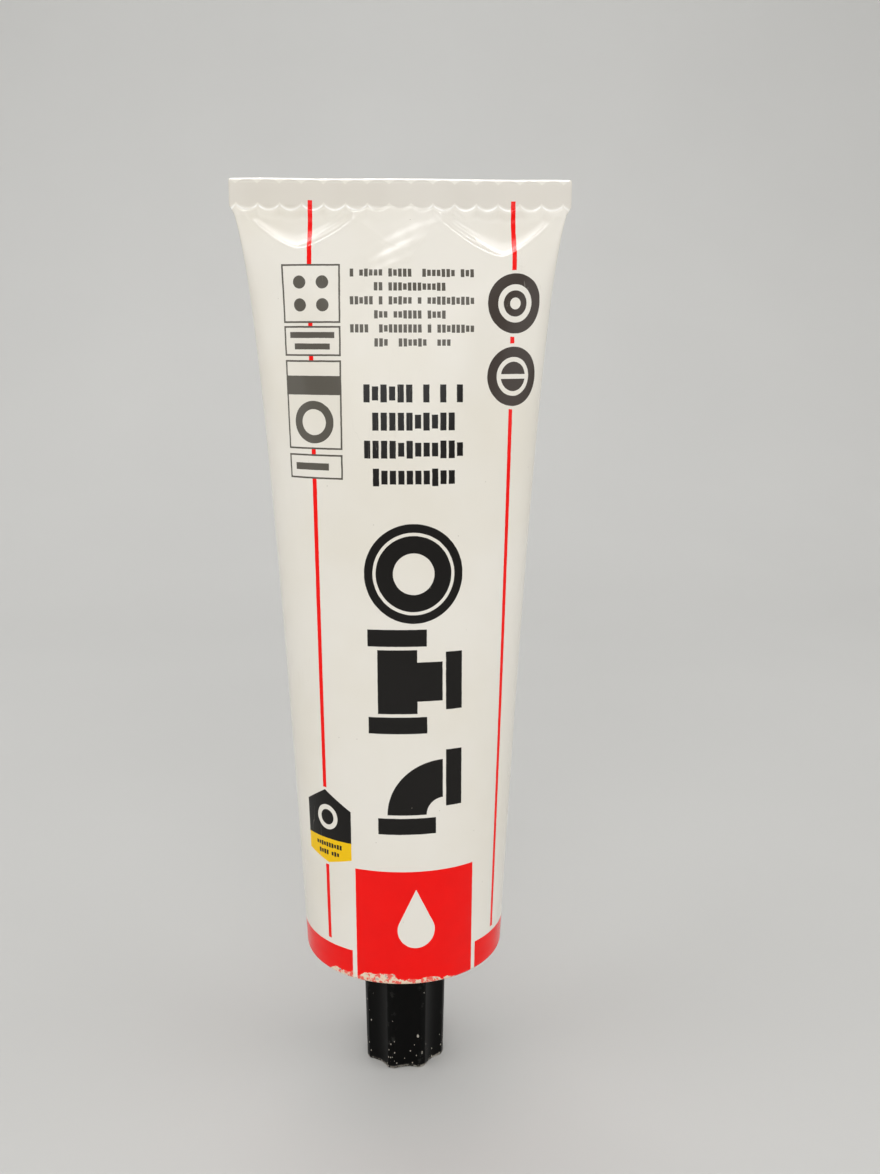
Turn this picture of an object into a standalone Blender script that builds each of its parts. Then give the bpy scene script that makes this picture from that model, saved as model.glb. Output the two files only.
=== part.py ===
"""Collapsible aluminium tube of pipe cement, standing on its fluted screw cap.

The tube is one thin drawn shell: a pierceable membrane, a neck, a conical shoulder and a
wall that keeps its perimeter while it flattens from a circle to the folded end. A band of
sealing compound lies between the flattened walls and is rolled up with them. The cap has a
piercing point in its end and a wad that presses on the neck.

Units are metres. The origin is the centre of the cap's end, +Z is up, +X runs along the
fold, and the flap of the fold is on the +Y side. Only the driving dimensions are set here;
every seat, bore and height below is worked out from them.
"""
import math

import bpy

# Tube
TUBE_DIAMETER = 0.038
TUBE_WALL = 0.00016
BODY_LENGTH = 0.1372
BODY_SWELL_POWER = 3.0
SHOULDER_SLOPE_DEG = 25.0
SHOULDER_WALL = 0.0006
SHOULDER_EDGE_RADIUS = 0.0005
NECK_DIAMETER = 0.011
NECK_WALL = 0.0012
NECK_LENGTH = 0.0099
MEMBRANE_THICKNESS = 0.0002
MEMBRANE_SETBACK = 0.0003

# Folded end
FOLD_HEIGHT = 0.0047
FOLD_LAYER_GAP = 0.00012
FLAP_LIFT = 0.0004
FOLD_FACE_POWER = 0.25
FLAT_REACH = 0.018
SEAL_THICKNESS = 0.0001
SEAL_GAP = 0.0001
SEAL_SIDE_MARGIN = 0.0015
SEAL_END_MARGIN = 0.0004

# Contents
GEL_GAP = 0.0003
GEL_HEADSPACE = 0.0095

# Cap and its wad
CAP_WALL = 0.00155
CAP_TAPER = 0.00035
CAP_END_WALL = 0.0020
CAP_EDGE = 0.0005
CAP_RIM_GAP = 0.0003
FLUTE_COUNT = 8
FLUTE_DEPTH = 0.0009
FLUTE_RIDGE_DEG = 8.0
FIRST_RIDGE_DEG = 25.5
RECESS_DEPTH = 0.0055
RECESS_WALL = 0.0021
SPIKE_DIAMETER = 0.0032
SPIKE_TIP_DIAMETER = 0.0004
SPIKE_SETBACK = 0.0009
THREAD_CLEARANCE = 0.00035
LINER_THICKNESS = 0.0010
LINER_EDGE = 0.0002
SEAT_GAP = 0.0003

# Facets
TUBE_SIDES = 72
GEL_SIDES = 40
SEAL_SIDES = 24
LINER_SIDES = 48
BODY_RINGS = 18
EDGE_STEPS = 3
BEND_STEPS = 6
FLUTE_STEPS = 10
PERIMETER_STEPS = 180

# Heights, from the cap's end up
BORE_FLOOR_Z = RECESS_DEPTH + CAP_END_WALL
LINER_Z = BORE_FLOOR_Z + SEAT_GAP
NECK_END_Z = LINER_Z + LINER_THICKNESS + SEAT_GAP
NECK_ROOT_Z = NECK_END_Z + NECK_LENGTH
CAP_RIM_Z = NECK_ROOT_Z - CAP_RIM_GAP

# Radii
TUBE_RADIUS = TUBE_DIAMETER / 2
NECK_RADIUS = NECK_DIAMETER / 2
NECK_BORE_RADIUS = NECK_RADIUS - NECK_WALL
CAP_BORE_RADIUS = NECK_RADIUS + THREAD_CLEARANCE
CAP_RIM_RADIUS = CAP_BORE_RADIUS + CAP_WALL + FLUTE_DEPTH
CAP_END_RADIUS = CAP_RIM_RADIUS - CAP_TAPER
RECESS_RADIUS = CAP_END_RADIUS - FLUTE_DEPTH - RECESS_WALL
RIDGE_START = math.radians(FIRST_RIDGE_DEG - 90.0)

# Fold: half the slit that the seal fills, half one flattened layer, and the layers' pitch
SLIT_HALF = SEAL_THICKNESS / 2 + SEAL_GAP
LAYER_HALF = SLIT_HALF + TUBE_WALL
LAYER_PITCH = 2 * LAYER_HALF + FOLD_LAYER_GAP

# Shoulder: the cone's outer edge is rounded into the wall
SLOPE = math.radians(SHOULDER_SLOPE_DEG)
EDGE_CENTRE_R = TUBE_RADIUS - SHOULDER_EDGE_RADIUS
EDGE_TANGENT_R = EDGE_CENTRE_R + SHOULDER_EDGE_RADIUS * math.sin(SLOPE)
BODY_BASE_Z = (NECK_ROOT_Z + (EDGE_TANGENT_R - NECK_RADIUS) * math.tan(SLOPE)
               + SHOULDER_EDGE_RADIUS * math.cos(SLOPE))
FOLD_BASE_Z = BODY_BASE_Z + BODY_LENGTH
FOLD_TOP_Z = FOLD_BASE_Z + FOLD_HEIGHT


def turns(count, start=0.0):
    """Angles of the points round one ring; they begin on the +X side."""
    return [start + 2 * math.pi * i / count for i in range(count)]


def circle(radius, z, count, start=0.0):
    """Round ring about the Z axis."""
    return [(radius * math.cos(a), radius * math.sin(a), z) for a in turns(count, start)]


def section(half_width, half_depth, face_power, angle):
    """Point of a flattened tube section; a small face_power makes its two faces flat."""
    side = math.sin(angle)
    depth = half_depth * abs(side) ** face_power
    return half_width * math.cos(angle), math.copysign(depth, side)


def section_perimeter(half_width, half_depth, face_power):
    """Length round a flattened section."""
    points = [section(half_width, half_depth, face_power, a) for a in turns(PERIMETER_STEPS)]
    return sum(math.dist(p, q) for p, q in zip(points, points[1:] + points[:1]))


def solve(low, high, measure):
    """Length between low and high at which a section has the round tube's perimeter."""
    target = section_perimeter(TUBE_RADIUS, TUBE_RADIUS, 1.0)
    for _ in range(50):
        middle = (low + high) / 2
        if measure(middle) < target:
            low = middle
        else:
            high = middle
    return (low + high) / 2


def half_width_for(half_depth, face_power):
    """Half-width that keeps the perimeter at this depth."""
    return solve(TUBE_RADIUS * 0.9, TUBE_RADIUS * math.pi,
                 lambda half_width: section_perimeter(half_width, half_depth, face_power))


def half_depth_for(half_width, face_power):
    """Half-depth that keeps the perimeter at this width."""
    return solve(0.0, TUBE_RADIUS * 1.2,
                 lambda half_depth: section_perimeter(half_width, half_depth, face_power))


FOLD_HALF_WIDTH = half_width_for(LAYER_HALF, FOLD_FACE_POWER)
FOLD_STRETCH = FOLD_HALF_WIDTH / half_width_for(LAYER_HALF, 1.0)


def body_stations():
    """Height, half-width, half-depth and face power up the wall, closer towards the fold."""
    stations = []
    for i in range(BODY_RINGS + 1):
        t = i / BODY_RINGS
        below = BODY_LENGTH * (1 - t) ** BODY_SWELL_POWER
        swell = LAYER_HALF + (TUBE_RADIUS - LAYER_HALF) * (1 - t)
        half_width = half_width_for(swell, 1.0) * FOLD_STRETCH ** t
        round_share = min(1.0, below / FLAT_REACH)
        round_share = round_share * round_share * (3 - 2 * round_share)
        face_power = FOLD_FACE_POWER + (1 - FOLD_FACE_POWER) * round_share
        half_depth = half_depth_for(half_width, face_power)
        stations.append((FOLD_BASE_Z - below, half_width, half_depth, face_power))
    return stations


def body_ring(station, inset, count):
    """Ring of the wall, moved inwards by inset."""
    z, half_width, half_depth, face_power = station
    points = [section(half_width - inset, half_depth - inset, face_power, a) for a in turns(count)]
    return [(x, y, z) for x, y in points]


def bend(centre_y, centre_z, radius, start_deg):
    """Half turn of the fold's centre line, as (y, z, angle turned from upright)."""
    path = []
    for i in range(BEND_STEPS + 1):
        angle = math.radians(start_deg + 180.0 * i / BEND_STEPS)
        path.append((centre_y - radius * math.cos(angle), centre_z + radius * math.sin(angle), angle))
    return path


def fold_path():
    """Centre line of the double fold: up the front, down the back, and up between them."""
    top_centre_z = FOLD_TOP_Z - LAYER_HALF - LAYER_PITCH
    flap_radius = LAYER_PITCH / 2
    flap_centre_z = FOLD_BASE_Z + FLAP_LIFT + LAYER_HALF + flap_radius
    path = bend(LAYER_PITCH, top_centre_z, LAYER_PITCH, 0.0)
    path += bend(2 * LAYER_PITCH - flap_radius, flap_centre_z, flap_radius, 180.0)
    path.append((LAYER_PITCH, top_centre_z - FOLD_LAYER_GAP, math.radians(360.0)))
    return path


def fold_ring(place, half_width, half_depth, count):
    """Flattened ring across the fold's centre line."""
    y, z, angle = place
    ring = []
    for a in turns(count):
        across, depth = section(half_width, half_depth, FOLD_FACE_POWER, a)
        ring.append((across, y + depth * math.cos(angle), z - depth * math.sin(angle)))
    return ring


def shoulder_z(radius):
    """Height of the shoulder's outer face."""
    return NECK_ROOT_Z + (radius - NECK_RADIUS) * math.tan(SLOPE)


def shoulder_inner_z(radius):
    """Height of the shoulder's inner face."""
    return shoulder_z(radius) + SHOULDER_WALL / math.cos(SLOPE)


def shoulder_edge(count):
    """Rings of the rounded edge between the shoulder and the wall."""
    rings = []
    for i in range(EDGE_STEPS):
        angle = (SLOPE - math.pi / 2) * (1 - i / EDGE_STEPS)
        radius = EDGE_CENTRE_R + SHOULDER_EDGE_RADIUS * math.cos(angle)
        rings.append(circle(radius, BODY_BASE_Z + SHOULDER_EDGE_RADIUS * math.sin(angle), count))
    return rings


def skin(name, first_pole, rings, last_pole, material):
    """Closed object through a chain of rings, from one pole to the other."""
    count = len(rings[0])
    points = [first_pole]
    for ring in rings:
        points += ring
    points.append(last_pole)
    last = len(points) - 1
    faces = []
    for j in range(count):
        k = (j + 1) % count
        faces.append((0, 1 + k, 1 + j))
        for i in range(len(rings) - 1):
            low = 1 + i * count
            high = low + count
            faces.append((low + j, low + k, high + k, high + j))
        top = last - count
        faces.append((top + j, top + k, last))
    mesh = bpy.data.meshes.new(name)
    mesh.from_pydata(points, [], faces)
    mesh.shade_smooth()
    mesh.set_sharp_from_angle(angle=math.radians(35.0))
    mesh.materials.append(material)
    piece = bpy.data.objects.new(name, mesh)
    bpy.context.scene.collection.objects.link(piece)
    return piece


def finish(name, colour, roughness, metallic):
    """Principled material."""
    material = bpy.data.materials.new(name)
    material.use_nodes = True
    shader = material.node_tree.nodes["Principled BSDF"]
    shader.inputs["Base Color"].default_value = (*colour, 1.0)
    shader.inputs["Roughness"].default_value = roughness
    shader.inputs["Metallic"].default_value = metallic
    return material


def make_tube_shell():
    """Membrane, neck, shoulder, wall and double fold, outside and then back inside."""
    count = TUBE_SIDES
    membrane_z = NECK_END_Z + MEMBRANE_SETBACK
    stations = body_stations()
    path = fold_path()

    outside = [circle(NECK_BORE_RADIUS, membrane_z, count)]
    outside.append(circle(NECK_BORE_RADIUS, NECK_END_Z, count))
    outside.append(circle(NECK_RADIUS, NECK_END_Z, count))
    outside.append(circle(NECK_RADIUS, NECK_ROOT_Z, count))
    outside += shoulder_edge(count)
    outside += [body_ring(station, 0.0, count) for station in stations]
    outside += [fold_ring(place, FOLD_HALF_WIDTH, LAYER_HALF, count) for place in path]

    slit_half_width = FOLD_HALF_WIDTH - TUBE_WALL
    inside = [fold_ring(place, slit_half_width, SLIT_HALF, count) for place in reversed(path)]
    inside += [body_ring(station, TUBE_WALL, count) for station in reversed(stations[1:])]
    corner_radius = TUBE_RADIUS - TUBE_WALL
    inside.append(circle(corner_radius, shoulder_inner_z(corner_radius), count))
    inside.append(circle(NECK_BORE_RADIUS, shoulder_inner_z(NECK_BORE_RADIUS), count))
    floor_z = membrane_z + MEMBRANE_THICKNESS
    inside.append(circle(NECK_BORE_RADIUS, floor_z, count))

    lacquer = finish("white_lacquer", (0.80, 0.77, 0.70), 0.28, 0.0)
    return skin("tube_shell", (0, 0, membrane_z), outside + inside, (0, 0, floor_z), lacquer)


def make_end_seal():
    """Band of sealing compound, rolled up between the flattened walls."""
    path = fold_path()
    start = (0.0, FOLD_BASE_Z + SEAL_END_MARGIN, 0.0)
    y, z, angle = path[-1]
    places = [start] + path[:-1] + [(y, z - SEAL_END_MARGIN, angle)]
    half_width = FOLD_HALF_WIDTH - SEAL_SIDE_MARGIN
    rings = [fold_ring(place, half_width, SEAL_THICKNESS / 2, SEAL_SIDES) for place in places]
    ends = [(0.0, place[0], place[1]) for place in (places[0], places[-1])]
    compound = finish("sealing_compound", (0.62, 0.52, 0.36), 0.55, 0.0)
    return skin("end_seal", ends[0], rings, ends[1], compound)


def make_glue_gel():
    """Contents: they fill the neck and the wall up to a level surface below the fold."""
    inset = TUBE_WALL + GEL_GAP
    floor_z = NECK_END_Z + MEMBRANE_SETBACK + MEMBRANE_THICKNESS + GEL_GAP
    level_z = FOLD_BASE_Z - GEL_HEADSPACE
    neck_radius = NECK_BORE_RADIUS - GEL_GAP
    corner_radius = TUBE_RADIUS - inset
    lift = GEL_GAP / math.cos(SLOPE)
    rings = [circle(neck_radius, floor_z, GEL_SIDES)]
    for radius in (neck_radius, corner_radius):
        rings.append(circle(radius, shoulder_inner_z(radius) + lift, GEL_SIDES))
    stations = body_stations()
    below = [station for station in stations[1:] if station[0] < level_z]
    rings += [body_ring(station, inset, GEL_SIDES) for station in below]
    low = below[-1]
    high = stations[len(below) + 1]
    share = (level_z - low[0]) / (high[0] - low[0])
    level = [a + (b - a) * share for a, b in zip(low, high)]
    rings.append(body_ring(level, inset, GEL_SIDES))
    gel = finish("glue_gel", (0.72, 0.66, 0.48), 0.12, 0.0)
    return skin("glue_gel", (0, 0, floor_z), rings, (0, 0, level_z), gel)


def flute_cut(angle):
    """Share of the flute's depth at this angle: 0 on a ridge, 1 in the middle of a flute."""
    step = 2 * math.pi / FLUTE_COUNT
    from_middle = (angle - RIDGE_START) % step - step / 2
    half = (step - math.radians(FLUTE_RIDGE_DEG)) / 2
    return max(0.0, 1 - (from_middle / half) ** 2)


def cap_ring(ridge_radius, z, count):
    """Fluted ring of the cap's outside."""
    ring = []
    for angle in turns(count, RIDGE_START):
        radius = ridge_radius - FLUTE_DEPTH * flute_cut(angle)
        ring.append((radius * math.cos(angle), radius * math.sin(angle), z))
    return ring


def make_screw_cap():
    """Fluted cap: piercing point in its end, plain bore for the neck."""
    count = FLUTE_COUNT * FLUTE_STEPS
    rings = [circle(SPIKE_TIP_DIAMETER / 2, SPIKE_SETBACK, count, RIDGE_START)]
    rings.append(circle(SPIKE_DIAMETER / 2, RECESS_DEPTH, count, RIDGE_START))
    rings.append(circle(RECESS_RADIUS, RECESS_DEPTH, count, RIDGE_START))
    rings.append(circle(RECESS_RADIUS, 0.0, count, RIDGE_START))
    rings.append(cap_ring(CAP_END_RADIUS - CAP_EDGE, 0.0, count))
    rings.append(cap_ring(CAP_END_RADIUS, CAP_EDGE, count))
    rings.append(cap_ring(CAP_RIM_RADIUS, CAP_RIM_Z - CAP_EDGE, count))
    rings.append(cap_ring(CAP_RIM_RADIUS - CAP_EDGE, CAP_RIM_Z, count))
    rings.append(circle(CAP_BORE_RADIUS, CAP_RIM_Z, count, RIDGE_START))
    rings.append(circle(CAP_BORE_RADIUS, BORE_FLOOR_Z, count, RIDGE_START))
    plastic = finish("black_plastic", (0.012, 0.012, 0.012), 0.38, 0.0)
    return skin("screw_cap", (0, 0, SPIKE_SETBACK), rings, (0, 0, BORE_FLOOR_Z), plastic)


def make_cap_liner():
    """Wad on the floor of the cap's bore."""
    radius = CAP_BORE_RADIUS - SEAT_GAP
    top_z = LINER_Z + LINER_THICKNESS
    rings = [circle(radius - LINER_EDGE, LINER_Z, LINER_SIDES)]
    rings.append(circle(radius, LINER_Z + LINER_EDGE, LINER_SIDES))
    rings.append(circle(radius, top_z - LINER_EDGE, LINER_SIDES))
    rings.append(circle(radius - LINER_EDGE, top_z, LINER_SIDES))
    wad = finish("wad", (0.78, 0.74, 0.66), 0.7, 0.0)
    return skin("cap_liner", (0, 0, LINER_Z), rings, (0, 0, top_z), wad)


def main():
    for old in list(bpy.data.objects):
        bpy.data.objects.remove(old, do_unlink=True)
    make_screw_cap()
    make_cap_liner()
    make_tube_shell()
    make_end_seal()
    make_glue_gel()


main()
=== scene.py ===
"""Dresses the pipe cement tube: crimped lacquered shell, label print, fluted cap and threads."""
import math

import bpy
import numpy as np
from mathutils import Matrix, Vector


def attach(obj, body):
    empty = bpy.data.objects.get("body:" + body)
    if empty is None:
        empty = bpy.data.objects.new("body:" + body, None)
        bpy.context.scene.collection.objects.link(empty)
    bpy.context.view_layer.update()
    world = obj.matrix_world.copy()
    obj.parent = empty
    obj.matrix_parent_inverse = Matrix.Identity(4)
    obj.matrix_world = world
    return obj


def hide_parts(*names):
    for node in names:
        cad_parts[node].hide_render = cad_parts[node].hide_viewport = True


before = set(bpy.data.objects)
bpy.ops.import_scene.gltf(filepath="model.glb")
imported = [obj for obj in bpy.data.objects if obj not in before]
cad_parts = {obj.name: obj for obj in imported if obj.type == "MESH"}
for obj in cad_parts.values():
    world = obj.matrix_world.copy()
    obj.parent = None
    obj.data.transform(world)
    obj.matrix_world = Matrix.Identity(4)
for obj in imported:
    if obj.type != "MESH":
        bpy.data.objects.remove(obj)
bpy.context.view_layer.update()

# Lengths are in millimetres until a mesh is written
MM = 0.001

# Tube, as in the solids
TUBE_RADIUS = 19.0
TUBE_WALL = 0.16
BODY_BASE = 25.61
BODY_LENGTH = 137.2
FOLD_BASE = BODY_BASE + BODY_LENGTH
FOLD_HEIGHT = 4.7
FOLD_TOP = FOLD_BASE + FOLD_HEIGHT
LAYER_HALF = 0.31
SLIT_HALF = 0.15
LAYER_PITCH = 0.74
FLAP_LIFT = 0.4
FOLD_FACE_POWER = 0.25
FLAT_REACH = 18.0
SHOULDER_SLOPE = math.radians(25.0)
SHOULDER_EDGE = 0.5
SHOULDER_WALL = 0.6
NECK_RADIUS = 5.5
NECK_CORE = 4.95
NECK_BORE = 4.3
NECK_END = 9.1
NECK_ROOT = 19.0
MEMBRANE = (9.4, 9.6)
PERIMETER = 2 * math.pi * TUBE_RADIUS

# Pressed end: crimp cells along the fold, and the flat scoops below it
CELL_PITCH = 3.78
CELL_CENTRE = -0.15
CELL_MARGIN = 0.5
CELL_DIP = 0.85
CREST_DIP = 0.6
CRIMP_HEIGHT = 0.42
CRIMP_RAMP = 0.52
CRIMP_FADE = 2.6
CREST_DEPTH = 0.09
UNPRESSED_MIDDLE = -0.4
LEAN_DROP = 1.8
KEEL_DROP = 5.2
DISH_POWER = 2.2
SCOOP_CURVE = 1.45
SCOOPS = (
    # peak, reach to the left, reach to the right, drop
    (-17.7, 10.8, 12.5, 7.6),
    (17.2, 13.2, 11.3, 8.9),
)
BACK_SCOOPS = (
    (-16.5, 11.5, 12.0, 8.2),
    (15.5, 12.0, 12.4, 7.4),
)
FRONT_EDGE = 29.3
FRONT_FADE = 1.2

# Handling marks: a slanting crease below the fold, and single dents in the wall
CREASE_START = 5.0
CREASE_LEAN = 0.7
DENTS = (
    # push, place across, half-width, lean, height, half-height
    (-0.20, 14.2, 1.3, 0.0, 35.2, 1.8),
    (-0.16, -20.5, 0.7, 0.3, 111.0, 4.0),
    (-0.14, -18.6, 0.6, -0.2, 107.0, 3.2),
    (0.10, 17.0, 2.5, 0.0, 84.0, 9.0),
)

# Mesh fineness
FRONT_STEP = 0.30
BACK_STEP = 0.70
OUTLINE_STEPS = 1440
ROUND_STEPS = 4
SHELL_SHARP_DEG = 75.0
CAP_SHARP_DEG = 38.0

# Cap, as in the solids
CAP_BORE = 5.85
CAP_RIM_RADIUS = 8.3
CAP_END_RADIUS = 7.95
CAP_RIM = 18.7
CAP_FLOOR = 7.5
CAP_EDGE = 0.5
RECESS_RADIUS = 4.95
RECESS_DEPTH = 5.5
SPIKE_RADIUS = 1.6
SPIKE_TIP = 0.9
FLUTE_COUNT = 8
FLUTE_DEPTH = 0.9
FLUTE_RIDGE_DEG = 8.0
FIRST_RIDGE_DEG = 25.5
FLUTE_STEPS = 32
THREAD_PITCH = 2.0
THREAD_BEAD = 0.45

# Label, on millimetre coordinates across (u) and up (v)
LABEL_CENTRE = 2.2
LABEL_LEAN = 0.0045
LEAN_BASE = 40.0
LEFT_LINE = -15.2
RIGHT_LINE = 19.5
BACK_LINE = 17.35
LINE_HALF = 0.4
LINE_MIDDLE = 97.7
LINE_HALF_LENGTH = 66.0
PANEL_HALF = 11.2
PANEL_TOP = 46.8
PANEL_GAP = 0.9
BAND_TOP = 30.7
DROP_CENTRE = 35.6
DROP_RADIUS = 3.4
DROP_TIP = 43.4
DISC_SHIFT = 0.4
DISC_HIGH = 146.3
DISC_LOW = 134.0
DISC_RADIUS = 5.05
DISC_CLEAR = 5.6
BADGE_SHIFT = 0.35
BADGE_SEAM = 51.3
FRAME_SHIFT = 0.2
FRAME_HALF_WIDTH = 5.1
FRAME_LINE = 0.3
FRAMES = ((147.8, 4.9), (139.9, 2.5), (129.2, 7.5), (118.75, 2.1))

# Boxes of the print: place across, place up, half-width, half-height
FRAME_BARS = (
    (0.0, 140.9, 4.0, 0.5),
    (0.0, 139.0, 3.2, 0.5),
    (0.0, 132.5, 5.0, 1.6),
    (-0.6, 118.75, 3.2, 0.6),
)
TEE_BOXES = (
    (-3.0, 81.6, 3.5, 5.7),
    (2.5, 81.6, 2.5, 3.5),
    (-3.0, 89.4, 5.2, 1.5),
    (-3.0, 73.8, 5.2, 1.5),
    (7.1, 81.6, 1.5, 5.2),
)
ELBOW_COLLARS = (
    (-1.5, 55.3, 5.2, 1.5),
    (7.1, 63.9, 1.5, 5.2),
)

# Rows of bars: top, pitch, count, half-height of a bar, half-widths of the rows by turns, cell
SMALL_ROWS = (152.4, 2.31, 6, 0.68, (10.6, 6.4), 0.82)
LARGE_ROWS = (133.6, 4.70, 4, 1.5, (8.8, 6.8), 1.45)
BADGE_ROWS = (50.8, 1.5, 2, 0.45, (3.4, 2.4), 0.62)
BACK_HEADING = (149.6, 4.75, 1, 1.25, (9.2, 7.0), 1.45)
BACK_ROWS = (
    (141.0, 2.33, 11, 0.62, (14.2, 12.6), 0.82),
    (109.0, 2.33, 8, 0.62, (13.4, 14.2), 0.82),
    (84.0, 2.33, 13, 0.62, (14.2, 13.4), 0.82),
)
BAR_GAP = 0.26
BLANK_CHANCE = 0.15
SHORT_CHANCE = 0.55
SHORT_BAR = 0.78


def srgb(red, green, blue):
    """Linear colour of an 8-bit screen colour."""
    shades = [c / 255.0 for c in (red, green, blue)]
    return tuple(c / 12.92 if c < 0.04045 else ((c + 0.055) / 1.055) ** 2.4 for c in shades) + (1.0,)


# Colours, as pairs of shades where a noise mixes two
LACQUER = (srgb(233, 229, 220), srgb(229, 224, 212))
DULLED_LACQUER = srgb(204, 198, 189)
# Bright line on the crimp's lower edge: worn lacquer and a painted highlight
RUBBED_LIP_HIGHLIGHT = srgb(253, 252, 248)
SCRATCHED_LACQUER = srgb(186, 180, 168)
WALL_DUST = srgb(150, 140, 126)
PRIMER = srgb(232, 212, 188)
BARE_METAL = srgb(196, 194, 190)
RED_INK = (srgb(248, 8, 3), srgb(236, 6, 3))
BLACK_INK = srgb(21, 19, 17)
DISC_INK = srgb(66, 58, 53)
GREY_INK = srgb(92, 88, 80)
YELLOW_INK = srgb(243, 196, 10)
ALUMINIUM = (srgb(205, 203, 199), srgb(176, 174, 170))
CAP_BLACK = (srgb(4, 4, 4), srgb(9, 9, 8))
CAP_SCUFF = srgb(70, 70, 67)
# Pale dust, also used for the painted highlight on the cap's bottom rim
CAP_DUST_AND_RIM_HIGHLIGHT = srgb(196, 190, 178)
FLOOR_PAPER = (srgb(206, 206, 204), srgb(211, 211, 209))


class Wire:
    """One value in a node tree; arithmetic on it adds Math nodes."""

    def __init__(self, bench, socket):
        self.bench = bench
        self.socket = socket

    def __add__(self, other):
        return self.bench.math("ADD", self, other)

    def __sub__(self, other):
        return self.bench.math("SUBTRACT", self, other)

    def __rsub__(self, other):
        return self.bench.math("SUBTRACT", other, self)

    def __mul__(self, other):
        return self.bench.math("MULTIPLY", self, other)

    def __truediv__(self, other):
        return self.bench.math("DIVIDE", self, other)

    def __rtruediv__(self, other):
        return self.bench.math("DIVIDE", other, self)

    def __abs__(self):
        return self.bench.math("ABSOLUTE", self)

    def __lt__(self, other):
        return self.bench.math("LESS_THAN", self, other)

    def __gt__(self, other):
        return self.bench.math("GREATER_THAN", self, other)

    def __or__(self, other):
        return self.bench.math("MAXIMUM", self, other)

    __radd__ = __add__
    __rmul__ = __mul__
    __ror__ = __or__


class Bench:
    """Adds nodes to one shader or Geometry Nodes tree."""

    def __init__(self, tree):
        self.tree = tree

    def feed(self, socket, value):
        if isinstance(value, Wire):
            self.tree.links.new(value.socket, socket)
        else:
            socket.default_value = value

    def node(self, kind, settings=None, values=None, out=0):
        """One node: its settings first, then its sockets; returns the wire of one output."""
        made = self.tree.nodes.new(kind)
        for name, value in (settings or {}).items():
            setattr(made, name, value)
        for key, value in (values or {}).items():
            self.feed(made.inputs[key], value)
        return Wire(self, made.outputs[out])

    def math(self, operation, *values):
        return self.node("ShaderNodeMath", {"operation": operation}, dict(enumerate(values)))

    def stretch(self, place, factors):
        return self.node("ShaderNodeVectorMath", {"operation": "MULTIPLY"}, {0: place, 1: factors})

    def parts(self, vector):
        """The X, Y and Z wires of a vector."""
        made = self.node("ShaderNodeSeparateXYZ", None, {0: vector}).socket.node
        return [Wire(self, output) for output in made.outputs]

    def join(self, x, y, z):
        return self.node("ShaderNodeCombineXYZ", None, {0: x, 1: y, 2: z})

    def length(self, x, y):
        return self.math("SQRT", x * x + y * y)

    def blend(self, share, first, second):
        """Colour mix."""
        return self.node("ShaderNodeMix", {"data_type": "RGBA"}, {0: share, 6: first, 7: second}, 2)

    def soft(self, value, low, high, start=0.0, end=1.0):
        """Smooth step from start to end while value goes from low to high."""
        values = {0: value, 1: low, 2: high, 3: start, 4: end}
        return self.node("ShaderNodeMapRange", {"interpolation_type": "SMOOTHSTEP"}, values)

    def noise(self, place, scale, detail=2.0, roughness=0.5, distortion=0.0):
        values = {"Vector": place, "Scale": scale, "Detail": detail, "Roughness": roughness,
                  "Distortion": distortion}
        return self.node("ShaderNodeTexNoise", None, values)

    def specks(self, place, scale, size, rarity):
        """Small round dots, in the Voronoi cells whose random grey is above the rarity."""
        values = {"Vector": place, "Scale": scale}
        dots = self.node("ShaderNodeTexVoronoi", None, values) < size
        greys = self.parts(self.node("ShaderNodeTexVoronoi", None, values, 1))
        return dots * (greys[0] > rarity)


def new_finish(name):
    """Material with its bench, its Principled shader and the wire of its object coordinates."""
    material = bpy.data.materials.new(name)
    material.use_nodes = True
    bench = Bench(material.node_tree)
    place = bench.node("ShaderNodeTexCoord", None, None, "Object")
    return material, bench, material.node_tree.nodes["Principled BSDF"], place


def raise_bumps(bench, shader, strength, depth, height):
    """Feeds a bump into the shader's normal."""
    values = {"Strength": strength, "Distance": depth, "Height": height}
    bench.feed(shader.inputs["Normal"], bench.node("ShaderNodeBump", None, values))


# Shapes of the print
def slab(value, centre, half):
    return abs(value - centre) < half


def boxes(u, v, places):
    """Filled boxes, as one mask."""
    filled = 0.0
    for across, up, half_width, half_height in places:
        filled = slab(u, across, half_width) * slab(v, up, half_height) | filled
    return filled


def word_rows(bench, u, v, rows):
    """Rows of small upright bars, broken at random places into groups of uneven length."""
    top, pitch, count, half_height, widths, cell = rows
    down = (top - v) / pitch
    row = bench.math("FLOOR", down)
    inside = slab(down, count / 2.0, count / 2.0)
    odd = bench.math("FLOORED_MODULO", row, 2.0)
    column = bench.math("FLOOR", u / cell)
    reach = abs(column + 0.5) * cell < widths[0] + odd * (widths[1] - widths[0])
    place = bench.join(column, row + top, 0.0)
    chance = bench.node("ShaderNodeTexWhiteNoise", {"noise_dimensions": "2D"}, {"Vector": place})
    tall = SHORT_BAR + (1 - SHORT_BAR) * (chance > SHORT_CHANCE)
    bar = abs(down - row - 0.5) < tall * (half_height / pitch)
    return inside * reach * bar * (chance > BLANK_CHANCE) * (u / cell - column > BAR_GAP)


def fitting_pictograms(bench, u, v):
    """Pipe end, tee and elbow, one above the other; thin gaps part the collars from the pipes."""
    from_centre = bench.length(u, v - 100.6)
    pipe_end = slab(from_centre, 7.9, 0.75) | slab(from_centre, 5.1, 1.5)
    bend = slab(bench.length(u - 5.0, v - 57.4), 6.5, 3.5) * (u < 5.0) * (v > 57.4)
    return pipe_end | boxes(u, v, TEE_BOXES) | bend | boxes(u, v, ELBOW_COLLARS)


def mark_frames(u, v, inset):
    """The four frames beside the small print, filled."""
    half_width = FRAME_HALF_WIDTH - inset
    return boxes(u, v, [(0.0, middle, half_width, half - inset) for middle, half in FRAMES])


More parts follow.
